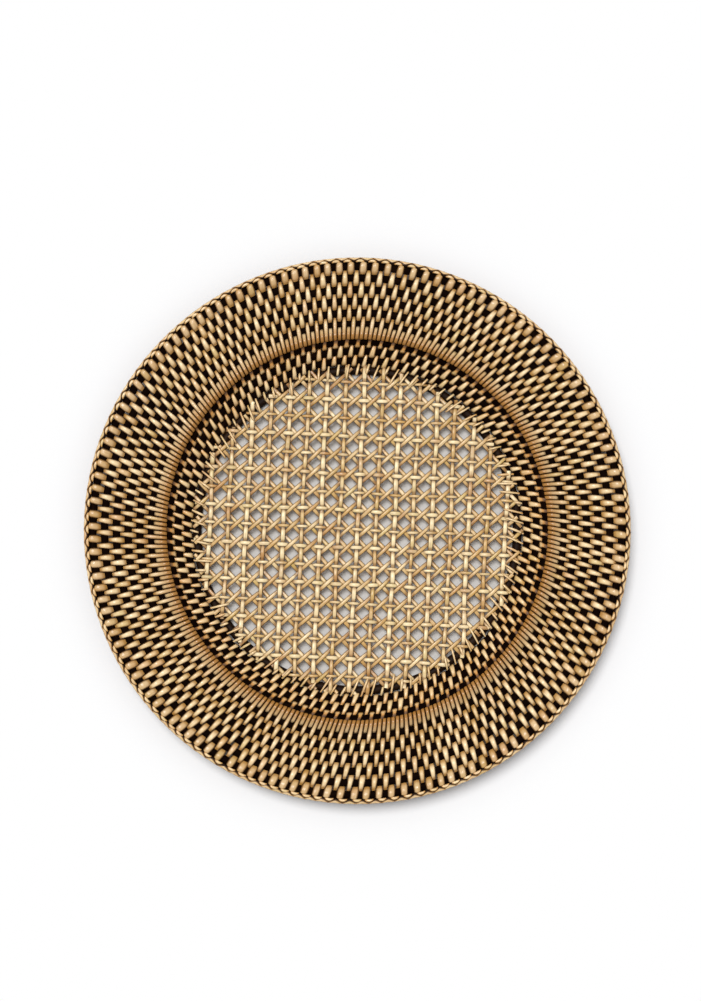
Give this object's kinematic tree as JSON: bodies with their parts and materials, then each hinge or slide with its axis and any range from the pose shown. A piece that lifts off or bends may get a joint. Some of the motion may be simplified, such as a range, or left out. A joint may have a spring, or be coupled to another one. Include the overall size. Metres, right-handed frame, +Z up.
{
  "type": "woven charger plate",
  "caption": "Round woven rattan charger plate: wide rim of pale strips over dark core rings, a raised bead, a sloping wall and an open cane net in the middle.",
  "frame": {"origin": "centre of the base ring's flat underside, on the table", "axes": "+Z up along the plate's axis; +Y away from the viewer, along the upright strands of the cane net to within a few degrees"},
  "size_m": [0.33, 0.33, 0.021],
  "materials": {
    "dark_core": "dark-stained rattan core",
    "rod": "brown-stained rattan rod",
    "rim_strip": "pale split rattan, thin clear coat",
    "wall_strip": "pale split rattan, thin clear coat",
    "border": "pale split rattan, thin clear coat",
    "cane": "straw-coloured cane with a soft sheen"
  },
  "bodies": {
    "root": {"base_ring": "rod", "wall_ring_1": "dark_core", "wall_ring_2": "dark_core", "wall_ring_3": "dark_core", "bead_ring": "rod", "rim_ring_1": "dark_core", "rim_ring_2": "dark_core", "rim_ring_3": "dark_core", "rim_ring_4": "dark_core", "rim_ring_5": "dark_core", "rim_ring_6": "dark_core", "edge_ring": "dark_core", "wall_strips_a": "wall_strip", "wall_strips_b": "wall_strip", "rim_strips_a": "rim_strip", "rim_strips_b": "rim_strip", "border_inner": "border", "border_outer": "border", "cane_upright": "cane", "cane_level": "cane", "cane_rising": "cane", "cane_falling": "cane"}
  },
  "joints": []
}
